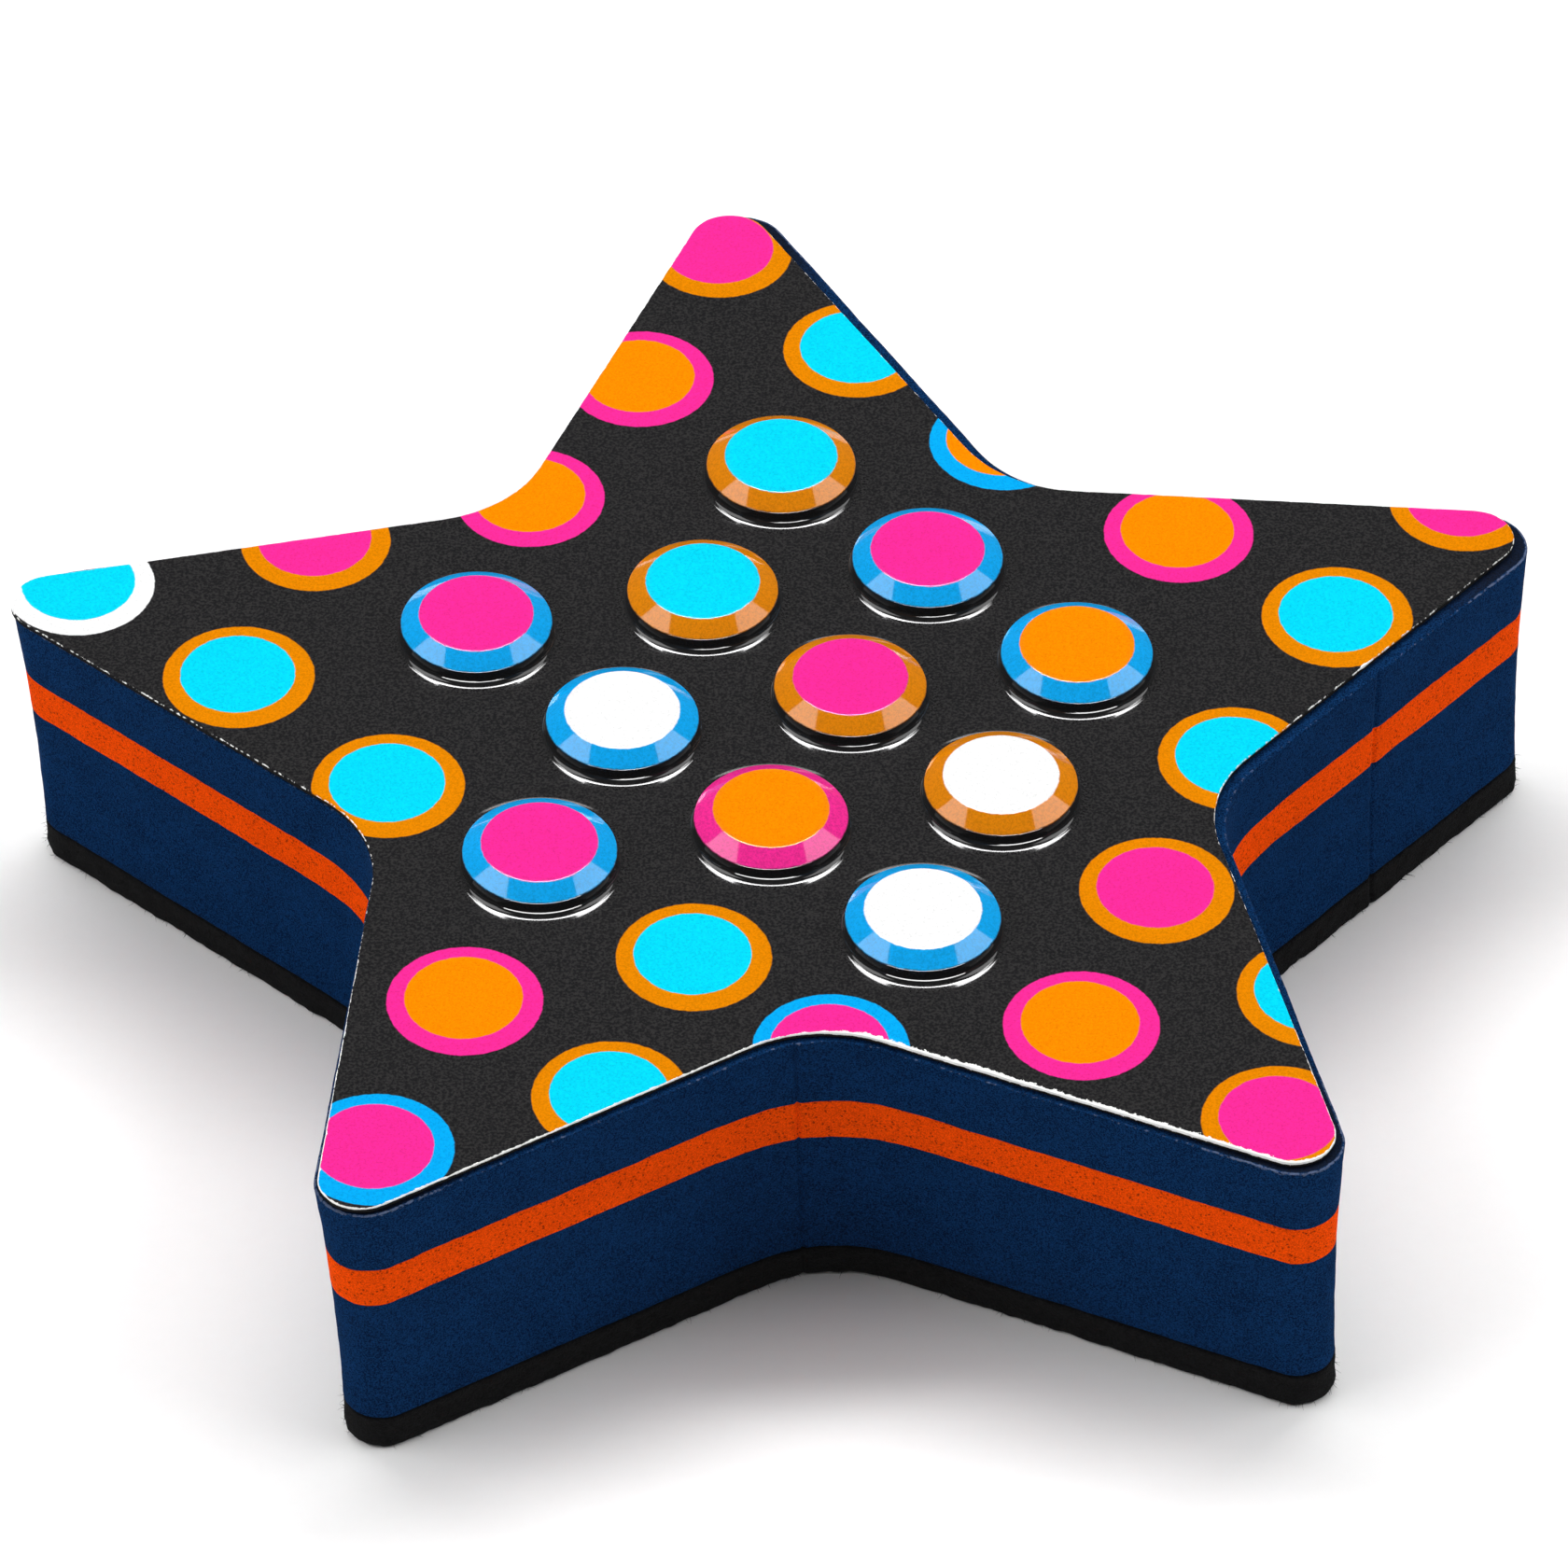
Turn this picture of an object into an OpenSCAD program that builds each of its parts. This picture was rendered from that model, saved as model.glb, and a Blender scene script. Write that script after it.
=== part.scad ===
// Star-shaped whiteboard eraser: a die-cut stack of foam sheets between a formed,
// printed top sheet and a felt wiping pad. The origin is the star's centre on the
// wiping face, +Z is up and one point of the star is on +Y. The foam is soft when it
// is cut, so its walls lean and draw in a little from the top of the stack to the felt.

/* [Star outline] */
// Radius of the printed sheet's points if they were sharp
point_r = 55.2; // [50:0.2:65]
// Radius of the printed sheet's inner corners if they were sharp
notch_r = 27.6; // [26:0.2:32]
// Rounding radius of the printed sheet's points
point_round = 2.7; // [1.5:0.1:4]
// Rounding radius of the printed sheet's inner corners
notch_round = 9; // [5:0.5:12]
// How much blunter the foam's inner corners are half way down its wall
notch_spring = 4; // [0:0.5:5]
// How far the top of the foam stands out past the printed sheet
foam_margin = 0.4; // [0.2:0.1:1]
// How far the cut wall draws in from the top of the foam to the felt
wall_draft = 0.6; // [0:0.1:1.2]
// How far the cut wall is hollowed half way down
wall_hollow = 0.3; // [0:0.1:0.5]
// How far the whole cut leans sideways from the felt to the top of the foam, towards -X
cut_lean = 0.8; // [0:0.1:1]
// How far the printed sheet is stuck off the centre of the foam, towards -X
sheet_offset = 0.4; // [0:0.1:0.6]
// How far the foam is turned against the printed sheet, in degrees
foam_turn = -0.35; // [-0.6:0.05:0.6]

/* [Layers, from the board up] */
// Thickness of the felt wiping pad
felt_t = 2.6; // [1.5:0.1:5]
// Thickness of the punched foam sheet that holds the magnets
carrier_t = 5; // [3:0.5:8]
// Thickness of the solid foam sheet above the magnets
core_t = 5; // [3:0.5:8]
// Thickness of the coloured stripe sheet
stripe_t = 3.1; // [2:0.1:5]
// Thickness of the upper foam sheet
upper_t = 5.1; // [2:0.1:6]
// Thickness of every film of glue
film_t = 0.1; // [0.05:0.05:0.2]

/* [Printed sheet] */
// Thickness of the printed plastic sheet
sheet_t = 0.4; // [0.3:0.05:0.6]
// Height of the formed grip bumps above the sheet
bump_h = 1.8; // [1.4:0.1:2.5]
// Radius of a bump's flat top
bump_top_r = 3.7; // [3:0.1:4.2]
// Radius of a bump's straight wall
bump_wall_r = 4.95; // [4.6:0.05:5.2]
// Drop of the slanted ring between a bump's flat top and its wall
bump_bevel_h = 0.75; // [0.4:0.05:0.8]
// Radius of the fillet where a bump meets the sheet
bump_foot_r = 0.45; // [0.2:0.05:0.5]

/* [Magnets] */
// Diameter of each disc magnet
magnet_d = 18; // [10:1:20]
// Distance of each magnet's centre from the star's centre
magnet_offset = 13; // [11:0.5:15]

/* [Hidden] */
$fn = 96;

points = 5;
step = 360 / points;
half_step = step / 2;
// Direction of the first point, on +Y
first_point = 90;
// Chords in half of each rounding arc
point_arc_n = 8;
notch_arc_n = 4;

// Heights of the underside of each layer
adhesive_z = felt_t;
carrier_z = adhesive_z + film_t;
core_film_z = carrier_z + carrier_t;
core_z = core_film_z + film_t;
lower_film_z = core_z + core_t;
stripe_z = lower_film_z + film_t;
upper_film_z = stripe_z + stripe_t;
upper_z = upper_film_z + film_t;
sheet_adhesive_z = upper_z + upper_t;
sheet_z = sheet_adhesive_z + film_t;
sheet_top_z = sheet_z + sheet_t;

// Grip bumps: a slanted grid of 11 places, named by their steps along its two axes
grid_origin = [-7.4, -22];
grid_u = [8.9, -10];
grid_v = [6, 12.15];
bump_places = [
    [-2, 1], [-1, 0], [-1, 1], [-1, 2], [-1, 3],
    [0, 1], [0, 2], [0, 3], [1, 1], [1, 2], [1, 3]
];

// Depth of a height under the top of the foam, from 0 there to 1 on the wiping face
function depth_at(z) = (sheet_adhesive_z - z) / sheet_adhesive_z;

// How far the cut wall stands out past the printed sheet's outline at a height
function wall_at(z) =
    foam_margin - wall_draft * depth_at(z) - 4 * wall_hollow * depth_at(z) * (1 - depth_at(z));

// Rounding radius of the foam's inner corners at a height
function inner_at(z) = notch_round + 4 * notch_spring * depth_at(z) * (1 - depth_at(z));

// Where the centre of the star is at a height, along X
function lean_at(z) = -cut_lean * (1 - depth_at(z));

// The straight edge runs from a point, on +X, to the inner corner half a step round.
// Its outward normal gives the centres of the two rounding arcs.
function edge_end() = notch_r * [cos(half_step), sin(half_step)];
function edge_dir() = (edge_end() - [point_r, 0]) / norm(edge_end() - [point_r, 0]);
function edge_normal() = [edge_dir()[1], -edge_dir()[0]];
function corner_dir() = [cos(half_step), sin(half_step)];

// Centres of the two arcs. They stay put as the outline grows or shrinks by `grow`.
// `inner` is the rounding radius of the inner corners before it grows.
function point_centre() = [point_r - point_round / edge_normal()[0], 0];
function notch_centre(inner) = (notch_r + inner / (corner_dir() * edge_normal())) * corner_dir();

// Direction of the edge's normal: each arc spans from it to its mirror image
function normal_angle() = atan2(edge_normal()[1], edge_normal()[0]);

// Arc at a point, about +X, in 2n chords
function point_arc(grow, n) =
    [for (i = [-n:n])
        let (t = normal_angle() * i / n)
        point_centre() + (point_round + grow) * [cos(t), sin(t)]];

// Arc at an inner corner, about the line half a step round from the point, in 2n chords
function notch_arc(grow, inner, n) =
    [for (i = [-n:n])
        let (t = 180 + half_step - (normal_angle() - half_step) * i / n)
        notch_centre(inner) + (inner - grow) * [cos(t), sin(t)]];

function turned(pts, angle) =
    [for (p = pts) [p[0] * cos(angle) - p[1] * sin(angle), p[0] * sin(angle) + p[1] * cos(angle)]];

// The rounded star, `grow` larger all round than the sharp outline of the printed sheet
module star(grow, inner) {
    polygon([
        for (k = [0:points - 1])
            each turned(
                concat(point_arc(grow, point_arc_n), notch_arc(grow, inner, notch_arc_n)),
                first_point + k * step
            )
    ]);
}

// One flat layer of the stack, as thick as t and with its underside at z
module layer(z, t) {
    translate([lean_at(z + t / 2), 0, z])
        rotate(foam_turn)
            linear_extrude(t)
                star(wall_at(z + t / 2), inner_at(z + t / 2));
}

// Places a child that belongs to the printed sheet, with the height given
module on_sheet(z) {
    translate([lean_at(sheet_adhesive_z) - sheet_offset, 0, z])
        children();
}

module at_magnets() {
    for (side = [-1, 1])
        translate([side * magnet_offset, 0, carrier_z])
            children();
}

// Outline of half a bump, from its axis out to its foot. For the hollow under the
// bump it is drawn in by `inset`, the thickness of the sheet.
module bump_profile(inset) {
    foot_steps = 6;
    foot_x = bump_wall_r - inset + bump_foot_r;
    polygon(concat(
        [
            [0, -sheet_t - inset],
            [0, bump_h - inset],
            [bump_top_r - inset * 0.4, bump_h - inset],
            [bump_wall_r - inset, bump_h - bump_bevel_h - inset],
        ],
        [for (i = [0:foot_steps])
            let (t = 180 + 90 * i / foot_steps)
            [foot_x + bump_foot_r * cos(t), bump_foot_r - inset + bump_foot_r * sin(t)]],
        [[foot_x, -sheet_t - inset]]
    ));
}

module at_bumps() {
    for (place = bump_places)
        on_sheet(sheet_top_z)
            translate(grid_origin + place[0] * grid_u + place[1] * grid_v)
                children();
}

module felt_pad() {
    color("#1c1c1e") layer(0, felt_t);
}

module felt_adhesive() {
    color("#d8d2bc") layer(adhesive_z, film_t);
}

module magnet_carrier_foam() {
    color("#12365f")
        difference() {
            layer(carrier_z, carrier_t);
            at_magnets() translate([0, 0, -1]) cylinder(d = magnet_d, h = carrier_t + 2);
        }
}

module magnets() {
    color("#3a3a3c") at_magnets() cylinder(d = magnet_d, h = carrier_t);
}

module core_film() {
    color("#d8d2bc") layer(core_film_z, film_t);
}

module core_foam() {
    color("#12365f") layer(core_z, core_t);
}

module lower_stripe_film() {
    color("#d8d2bc") layer(lower_film_z, film_t);
}

module stripe_foam() {
    color("#f05a0a") layer(stripe_z, stripe_t);
}

module upper_stripe_film() {
    color("#d8d2bc") layer(upper_film_z, film_t);
}

module upper_foam() {
    color("#12365f") layer(upper_z, upper_t);
}

module sheet_adhesive() {
    color("#d8d2bc")
        on_sheet(sheet_adhesive_z)
            linear_extrude(film_t)
                star(0, notch_round);
}

module printed_sheet() {
    color("#2b2b2d")
        difference() {
            union() {
                on_sheet(sheet_z) linear_extrude(sheet_t) star(0, notch_round);
                at_bumps() rotate_extrude() bump_profile(0);
            }
            at_bumps() rotate_extrude() bump_profile(sheet_t);
        }
}

felt_pad();
felt_adhesive();
magnet_carrier_foam();
magnets();
core_film();
core_foam();
lower_stripe_film();
stripe_foam();
upper_stripe_film();
upper_foam();
sheet_adhesive();
printed_sheet();
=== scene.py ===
"""Star-shaped whiteboard eraser: a die-cut stack of foam with a formed, dotted grip sheet and a felt pad.

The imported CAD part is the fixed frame. Each class below models one kind of piece over its CAD nodes and
dresses it, and Studio adds the floor, the lights and the camera. Sizes are given in millimetres and are
turned to metres where the meshes are laid out.
"""

import logging
import math
import random
from collections.abc import Callable, Iterable, Sequence
from dataclasses import dataclass, field
from enum import Enum

import bmesh
import bpy
from mathutils import Matrix, Vector, noise


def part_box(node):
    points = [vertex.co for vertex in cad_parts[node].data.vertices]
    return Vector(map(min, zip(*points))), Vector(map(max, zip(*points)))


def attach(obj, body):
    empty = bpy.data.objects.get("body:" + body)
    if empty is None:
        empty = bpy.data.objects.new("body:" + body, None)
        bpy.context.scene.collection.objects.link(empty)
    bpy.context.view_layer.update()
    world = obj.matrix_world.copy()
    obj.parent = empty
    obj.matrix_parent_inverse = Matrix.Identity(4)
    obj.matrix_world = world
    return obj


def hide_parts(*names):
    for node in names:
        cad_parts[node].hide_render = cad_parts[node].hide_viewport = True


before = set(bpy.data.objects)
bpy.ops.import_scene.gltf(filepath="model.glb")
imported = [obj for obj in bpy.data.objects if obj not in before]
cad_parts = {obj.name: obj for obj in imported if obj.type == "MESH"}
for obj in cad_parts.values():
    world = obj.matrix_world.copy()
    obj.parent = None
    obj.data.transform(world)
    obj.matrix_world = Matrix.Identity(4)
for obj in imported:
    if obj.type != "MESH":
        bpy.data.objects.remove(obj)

MM = 0.001
BODY = "root"
log = logging.getLogger("eraser")

Colour = tuple[float, float, float]
Ring = list[Vector]
Mark = float | Sequence[float]


def linear(code: str) -> Colour:
    """Turns a display colour into linear light.

    Args:
        code: six hexadecimal digits, red, green and blue.

    Returns:
        The three linear parts, from 0 to 1.
    """
    parts = [int(code[i:i + 2], 16) / 255 for i in (0, 2, 4)]
    return tuple(p / 12.92 if p <= 0.04045 else ((p + 0.055) / 1.055) ** 2.4 for p in parts)


def smooth(value: float, start: float, end: float) -> float:
    """Rises smoothly from 0 at start to 1 at end.

    Args:
        value: where to read the rise.
        start: the value that gives 0.
        end: the value that gives 1.

    Returns:
        A share from 0 to 1.
    """
    share = min(1.0, max(0.0, (value - start) / (end - start)))
    return share * share * (3 - 2 * share)


class Ink(Enum):
    """The printing inks of the dotted sheet, as linear colours."""

    CYAN = linear("08d2f2")
    PINK = linear("f52c94")
    ORANGE = linear("fb8803")
    OCHRE = linear("dd8205")
    BLUE = linear("0aa6ee")
    WHITE = linear("f6f6f6")


# ---------------------------------------------------------------------------------------------
# The outline of the star
# ---------------------------------------------------------------------------------------------


@dataclass(frozen=True)
class Station:
    """One place on the star's outline.

    Attributes:
        place: the point on the outline, in mm.
        normal: the outward direction there.
        notch: how near the middle of an inner corner it is, from 0 to 1.
        mark: how near it is to a line that the cutting rule's ends left, from 0 to 1.
    """

    place: Vector
    normal: Vector
    notch: float
    mark: float


@dataclass(frozen=True)
class StarOutline:
    """The rounded five-pointed star of the printed sheet, centred on its own middle.

    Attributes:
        point_r: radius of the points if they were sharp, in mm.
        notch_r: radius of the inner corners if they were sharp, in mm.
        point_round: rounding radius of the points, in mm.
        notch_round: rounding radius of the inner corners, in mm.
        points: how many points the star has.
        turn: how far the star is turned to the left, in degrees.
        marks: the directions in which the cutting rule's ends left a line, in degrees from +X.
        mark_width: how wide each of those lines is, in mm.
        notch_reach: how far from an inner corner's middle its spring is felt, in mm.
    """

    point_r: float = 55.2
    notch_r: float = 27.6
    point_round: float = 2.7
    notch_round: float = 9.0
    points: int = 5
    turn: float = 0.0
    marks: tuple[float, ...] = ()
    mark_width: float = 0.13
    notch_reach: float = 8.0

    def stations(self) -> list[Station]:
        """Walks once round the outline.

        Returns:
            The stations in order, closer together at the rounded corners and at the cutting marks.
        """
        half_step = math.pi / self.points
        corner = Vector((math.cos(half_step), math.sin(half_step)))
        edge = (self.notch_r * corner - Vector((self.point_r, 0))).normalized()
        out = Vector((edge.y, -edge.x))
        turn = math.atan2(out.y, out.x)
        tip = Vector((self.point_r - self.point_round / out.x, 0))
        notch = (self.notch_r + self.notch_round / corner.dot(out)) * corner
        start, end = tip + self.point_round * out, notch - self.notch_round * out
        straight = (end - start).length
        tip_run, notch_run = self.point_round * turn, self.notch_round * (turn - half_step)
        run = tip_run + straight + notch_run

        def half_point(at: float) -> tuple[Vector, Vector]:
            """Place and normal at a distance from the tip's middle, on the side towards +Y."""
            if at < tip_run:
                normal = Matrix.Rotation(at / self.point_round, 2) @ Vector((1, 0))
                return tip + self.point_round * normal, normal
            if at < tip_run + straight:
                return start + (at - tip_run) * edge, out
            normal = Matrix.Rotation(-(at - tip_run - straight) / self.notch_round, 2) @ out
            return notch - self.notch_round * normal, normal

        def station(along: float) -> Station:
            """Station at a distance round the outline from the middle of the back point."""
            step, at = divmod(along, 2 * run)
            mirrored = at > run
            place, normal = half_point(2 * run - at if mirrored else at)
            if mirrored:
                place, normal = Vector((place.x, -place.y)), Vector((normal.x, -normal.y))
                step += 1
            spin = Matrix.Rotation(math.pi / 2 + step * 2 * half_step + math.radians(self.turn), 2)
            place, normal = spin @ place, spin @ normal
            direction = math.degrees(math.atan2(place.y, place.x)) % 360
            off = min([abs(direction - mark) for mark in self.marks], default=360.0)
            reach = math.radians(off) * place.length / self.mark_width
            spring = smooth(abs(at - run), self.notch_reach, 0.0)
            return Station(place, normal, spring, math.exp(-reach * reach))

        steps = [(0.0, tip_run, 8), (tip_run, tip_run + straight, 58), (tip_run + straight, run, 10)]
        half = [a + (b - a) * i / n for a, b, n in steps for i in range(n)]
        one = half + [run] + [2 * run - at for at in reversed(half[1:])]
        walk = {round(at + 2 * run * k, 3) for k in range(self.points) for at in one}
        if self.marks:
            fine = (0.06 * i for i in range(int(2 * run * self.points / 0.06)))
            walk |= {round(at, 3) for at in fine if station(at).mark > 0.01}
        return [station(along) for along in sorted(walk)]


SHEET_EDGE = StarOutline().stations()
FOAM_EDGE = StarOutline(turn=-0.35, marks=(4.6, 266.5)).stations()
ROUND = 2 * math.pi
# How far from its height a flat loop may lie, in mm
LEVEL = 0.01


def ripple(station: Station, height: float, size: float, seed: float) -> float:
    """Reads a smooth unevenness of the cut wall.

    Args:
        station: where on the outline.
        height: the height on the wall, in mm.
        size: the size of one swell, in mm.
        seed: tells one unevenness from another.

    Returns:
        A number from about -1 to 1.
    """
    return noise.noise(Vector((station.place.x / size, station.place.y / size, height / size + seed)))


# ---------------------------------------------------------------------------------------------
# Mesh work
# ---------------------------------------------------------------------------------------------


def leave_all() -> None:
    """Goes to object mode with nothing selected."""
    if bpy.context.object and bpy.context.object.mode != "OBJECT":
        bpy.ops.object.mode_set(mode="OBJECT")
    bpy.ops.object.select_all(action="DESELECT")


def pick(*pieces: bpy.types.Object) -> None:
    """Selects these objects only, and makes the first one active."""
    leave_all()
    for piece in pieces:
        piece.select_set(True)
    bpy.context.view_layer.objects.active = pieces[0]


class Skin:
    """A skin drawn up ring by ring from one circle, as a potter pulls a wall.

    Every vertex keeps the number of its station and its marks, which the finishes read as attributes.
    """

    def __init__(self, name: str, ring: Ring, marks: dict[str, Mark] | None = None) -> None:
        """Adds the first circle and lays it on the first ring.

        Args:
            name: the object's name.
            ring: where the vertices go, in mm, one after another.
            marks: the value of each mark on this ring, for the whole ring or for each vertex.
        """
        leave_all()
        self.count = len(ring)
        bpy.ops.mesh.primitive_circle_add(vertices=self.count, radius=ring[0].length * MM)
        self.piece = bpy.context.object
        self.piece.name = self.piece.data.name = name
        bpy.ops.object.mode_set(mode="EDIT")
        bpy.ops.mesh.select_mode(type="VERT")
        mesh = bmesh.from_edit_mesh(self.piece.data)
        mesh.verts.layers.int.new("station")
        for mark in marks or {}:
            mesh.verts.layers.float.new(mark)
        number = mesh.verts.layers.int["station"]
        for i, vert in enumerate(mesh.verts):
            vert[number] = i
        self._lay(ring, marks or {})

    def _lay(self, ring: Ring, marks: dict[str, Mark]) -> None:
        """Lays the newest vertices on a ring."""
        mesh = bmesh.from_edit_mesh(self.piece.data)
        mesh.verts.ensure_lookup_table()
        number = mesh.verts.layers.int["station"]
        layers = [(mesh.verts.layers.float[name], value) for name, value in marks.items()]
        for vert in mesh.verts[-self.count:]:
            i = vert[number]
            vert.co = ring[i] * MM
            for layer, value in layers:
                vert[layer] = value if isinstance(value, (int, float)) else value[i]
        bmesh.update_edit_mesh(self.piece.data, loop_triangles=False, destructive=False)

    def pull(self, ring: Ring, marks: dict[str, Mark] | None = None) -> None:
        """Extrudes the open loop and lays it on the next ring.

        Args:
            ring: where the new vertices go, in mm.
            marks: the value of each mark on this ring.
        """
        bpy.ops.mesh.extrude_edges_move(TRANSFORM_OT_translate={"value": (0, 0, MM)})
        self._lay(ring, marks or {})

    def cover(self) -> None:
        """Closes the loop that is still open at the last ring with a fan about its middle."""
        bpy.ops.mesh.edge_face_add()
        bpy.ops.mesh.poke()

    def done(self, caps: bool = False) -> bpy.types.Object:
        """Leaves edit mode.

        Args:
            caps: closes every loop that is still open with one flat face.

        Returns:
            The finished skin.
        """
        if caps:
            bpy.ops.mesh.select_all(action="SELECT")
            bpy.ops.mesh.fill_holes(sides=0)
        leave_all()
        return self.piece


def weld(name: str, pieces: Sequence[bpy.types.Object]) -> bpy.types.Object:
    """Joins pieces into one mesh, and merges the vertices that meet.

    Args:
        name: the name of the joined piece.
        pieces: the objects to join.

    Returns:
        The joined object.
    """
    pick(*pieces)
    if len(pieces) > 1:
        bpy.ops.object.join()
    piece = bpy.context.object
    piece.name = piece.data.name = name
    bpy.ops.object.mode_set(mode="EDIT")
    bpy.ops.mesh.select_all(action="SELECT")
    bpy.ops.mesh.remove_doubles(threshold=0.002 * MM)
    leave_all()
    return piece


def fill_between(piece: bpy.types.Object, low: float, high: float) -> None:
    """Fills the flat area between the open loops that lie in one range of heights.

    Args:
        piece: the object to fill.
        low: the lowest height of the loops, in mm.
        high: the highest height of the loops, in mm.
    """
    pick(piece)
    bpy.ops.object.mode_set(mode="EDIT")
    bpy.ops.mesh.select_mode(type="EDGE")
    bpy.ops.mesh.select_all(action="DESELECT")
    mesh = bmesh.from_edit_mesh(piece.data)
    for edge in mesh.edges:
        if edge.is_boundary and all(low * MM <= v.co.z <= high * MM for v in edge.verts):
            edge.select_set(True)
    bmesh.update_edit_mesh(piece.data)
    bpy.ops.mesh.fill(use_beauty=True)
    leave_all()


def finish_mesh(piece: bpy.types.Object, angle: float = 40) -> None:
    """Turns every face outwards and smooths the shading over edges flatter than an angle.

    Args:
        piece: the object to finish.
        angle: the steepest smoothed edge, in degrees.
    """
    pick(piece)
    bpy.ops.object.mode_set(mode="EDIT")
    bpy.ops.mesh.select_all(action="SELECT")
    bpy.ops.mesh.normals_make_consistent(inside=False)
    bpy.ops.object.mode_set(mode="OBJECT")
    bpy.ops.object.shade_smooth_by_angle(angle=math.radians(angle))
    bpy.ops.object.select_all(action="DESELECT")


def dress(
    piece: bpy.types.Object,
    finish: bpy.types.Material,
    nodes: Iterable[str],
) -> None:
    """Gives a finished piece its material and its place in the part.

    Args:
        piece: the finished piece.
        finish: its material.
        nodes: the CAD nodes that it stands for.
    """
    piece.data.materials.clear()
    piece.data.materials.append(finish)
    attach(piece, BODY)
    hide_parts(*nodes)
    triangles = sum(len(p.vertices) - 2 for p in piece.data.polygons)
    log.info("%s: %d triangles, %s", piece.name, triangles, finish.name)


def rounded_profile(
    corners: Sequence[tuple[float, float, float]], chords: int = 7
) -> list[tuple[float, float]]:
    """Rounds the corners of an open profile.

    Args:
        corners: the radius, height and rounding of each corner, from the foot to the axis, in mm.
        chords: how many chords each rounding has.

    Returns:
        The profile's points, as radius and height.
    """
    points = [Vector(corners[0][:2])]
    for before, here, after in zip(corners, corners[1:], corners[2:]):
        corner = Vector(here[:2])
        back = (Vector(before[:2]) - corner).normalized()
        ahead = (Vector(after[:2]) - corner).normalized()
        opening = back.angle(ahead)
        if here[2] == 0:
            points.append(corner)
            continue
        centre = corner + (back + ahead).normalized() * (here[2] / math.sin(opening / 2))
        first = corner + back * (here[2] / math.tan(opening / 2)) - centre
        last = corner + ahead * (here[2] / math.tan(opening / 2)) - centre
        sweep = first.angle_signed(last)
        points += [centre + Matrix.Rotation(-sweep * i / chords, 2) @ first for i in range(chords + 1)]
    points.append(Vector(corners[-1][:2]))
    return [(p.x, p.y) for p in points]


# ---------------------------------------------------------------------------------------------
# Finishes
# ---------------------------------------------------------------------------------------------

Socket = bpy.types.NodeSocket
Value = Socket | float | Sequence[float]


class Graph:
    """Lays out the nodes of one material or node group."""

    def __init__(self, tree: bpy.types.NodeTree) -> None:
        """Starts with an empty tree."""
        self.tree = tree
        tree.nodes.clear()

    def add(
        self, kind: str, inputs: dict[str | int, Value], out: str | int = 0, **settings: object
    ) -> Socket:
        """Adds one node.

        Args:
            kind: the node's type.
            inputs: the value or the socket for each input.
            out: the output that is wanted.
            settings: the node's own settings.

        Returns:
            The wanted output socket.
        """
        node = self.tree.nodes.new(kind)
        for key, value in settings.items():
            setattr(node, key, value)
        for key, value in inputs.items():
            if isinstance(value, bpy.types.NodeSocket):
                self.tree.links.new(value, node.inputs[key])
            else:
                node.inputs[key].default_value = value
        return node.outputs[out] if node.outputs else None

    def math(self, operation: str, first: Value, second: Value = 0.0, third: Value = 0.0) -> Socket:
        """Adds a Math node, and returns its result."""
        return self.add("ShaderNodeMath", {0: first, 1: second, 2: third}, operation=operation)

    def vector(self, operation: str, first: Value, second: Value) -> Socket:
        """Adds a Vector Math node, and returns its vector."""
        return self.add("ShaderNodeVectorMath", {0: first, 1: second}, operation=operation)

    def place(self) -> Socket:
        """Returns the Object coordinates."""
        return self.add("ShaderNodeTexCoord", {}, "Object")

    def mark(self, name: str) -> Socket:
        """Returns a mark that the mesh carries."""
        return self.add("ShaderNodeAttribute", {}, "Fac", attribute_name=name)

    def grain(self, at: Value, size: float, detail: float = 2.0, rough: float = 0.5) -> Socket:
        """Adds a Noise node with grains of one size in mm, and returns its factor."""
        inputs = {"Vector": at, "Scale": 1 / (size * MM), "Detail": detail, "Roughness": rough}
        return self.add("ShaderNodeTexNoise", inputs)

    def cells(self, at: Value, size: float, feature: str = "F1") -> Socket:
        """Adds a Voronoi node with cells of one size in mm, and returns the distance."""
        inputs = {"Vector": at, "Scale": 1 / (size * MM)}
        return self.add("ShaderNodeTexVoronoi", inputs, feature=feature)

    def rise(self, value: Value, start: Value, end: Value, low: Value = 0.0, high: Value = 1.0) -> Socket:
        """Adds a smooth Map Range node from low at start to high at end, and returns its result."""
        inputs = {"Value": value, "From Min": start, "From Max": end, "To Min": low, "To Max": high}
        return self.add("ShaderNodeMapRange", inputs, interpolation_type="SMOOTHSTEP")

    def blend(self, share: Value, first: Value, second: Value, way: str = "MIX") -> Socket:
        """Adds a colour Mix node, and returns its colour."""
        inputs = {0: share, 6: self._colour(first), 7: self._colour(second)}
        return self.add("ShaderNodeMix", inputs, 2, data_type="RGBA", blend_type=way)

    def bump(self, height: Value, depth: float, under: Value | None = None) -> Socket:
        """Adds a Bump node with a depth in mm, and returns its normal."""
        inputs = {"Height": height, "Distance": depth * MM, "Strength": 1.0}
        if under is not None:
            inputs["Normal"] = under
        return self.add("ShaderNodeBump", inputs)

    @staticmethod
    def _colour(value: Value) -> Value:
        """Gives a plain colour its alpha."""
        return value if isinstance(value, bpy.types.NodeSocket) else (*value, 1.0)


def material(name: str) -> tuple[bpy.types.Material, Graph]:
    """Adds an empty material.

    Args:
        name: its name.

    Returns:
        The material and the graph of its nodes.
    """
    made = bpy.data.materials.new(name)
    made.use_nodes = True
    return made, Graph(made.node_tree)


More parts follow.
